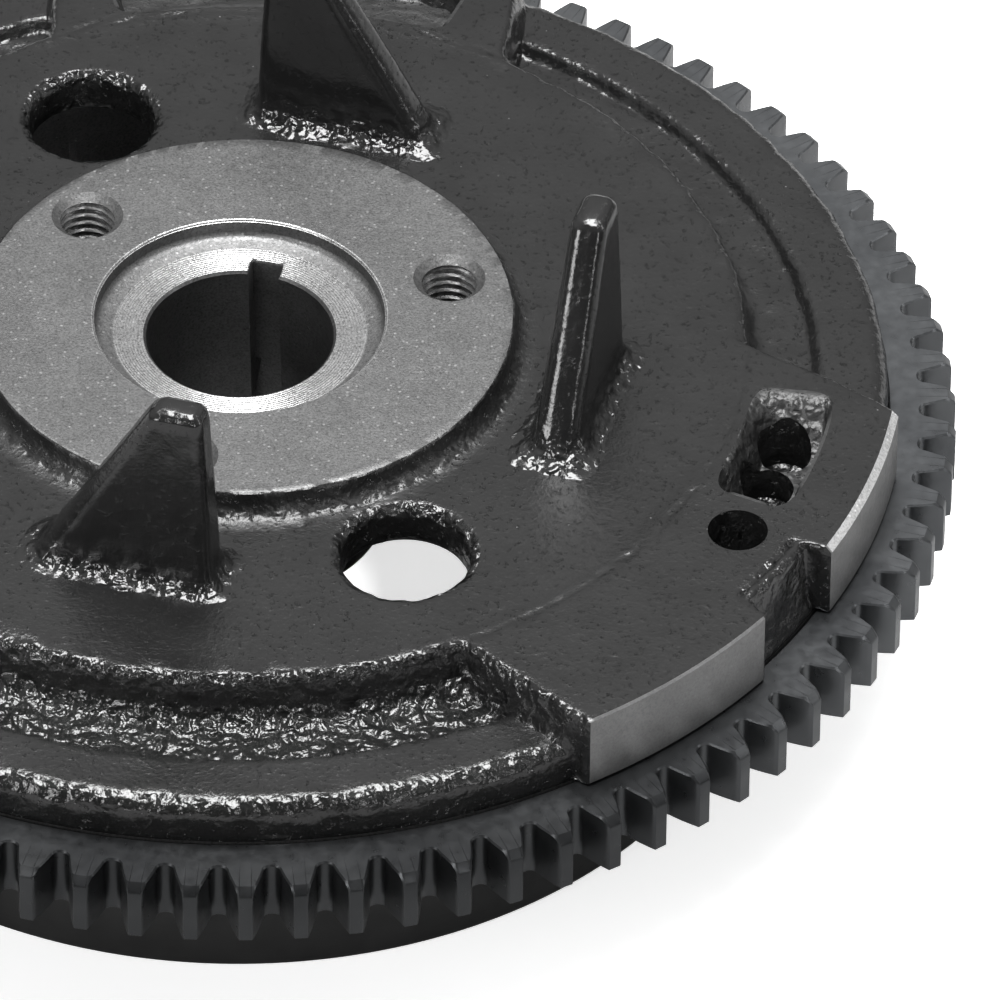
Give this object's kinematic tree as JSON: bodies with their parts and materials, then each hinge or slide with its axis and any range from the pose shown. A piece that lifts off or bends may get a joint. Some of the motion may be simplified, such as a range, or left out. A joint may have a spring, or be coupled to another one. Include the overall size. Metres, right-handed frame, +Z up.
{
  "type": "flywheel",
  "caption": "Cast flywheel for a small engine, with a shrunk-on starter ring gear, upright fan horns and a bolted magnet ring underneath.",
  "frame": {"origin": "on the crankshaft axis, level with the lower edge of the magnet ring", "axes": "+Z up along the crankshaft axis, away from the engine; the keyway lies 75 degrees anticlockwise from +X"},
  "size_m": [0.2184, 0.2184, 0.0878],
  "materials": {
    "casting": "gloss black paint over a rough as-cast skin, with bare machined faces at the hub",
    "ring_gear": "dark blue-grey hardened steel, lightly oiled",
    "magnet_ring": "smooth turned steel, blackened",
    "magnets": "matt charcoal sintered ferrite",
    "cage": "moulded black nylon",
    "screws": "zinc plated"
  },
  "bodies": {
    "root": {"flywheel_casting": "casting", "starter_ring_gear": "ring_gear", "magnet_ring": "magnet_ring", "magnet_cage": "cage", "magnet_01": "magnets", "magnet_02": "magnets", "magnet_03": "magnets", "magnet_04": "magnets", "magnet_05": "magnets", "magnet_06": "magnets", "magnet_07": "magnets", "magnet_08": "magnets", "magnet_09": "magnets", "magnet_10": "magnets", "magnet_11": "magnets", "magnet_12": "magnets", "ring_screw_1": "screws", "ring_screw_2": "screws", "ring_screw_3": "screws", "ring_screw_4": "screws", "ring_screw_5": "screws", "ring_screw_6": "screws"}
  },
  "joints": []
}
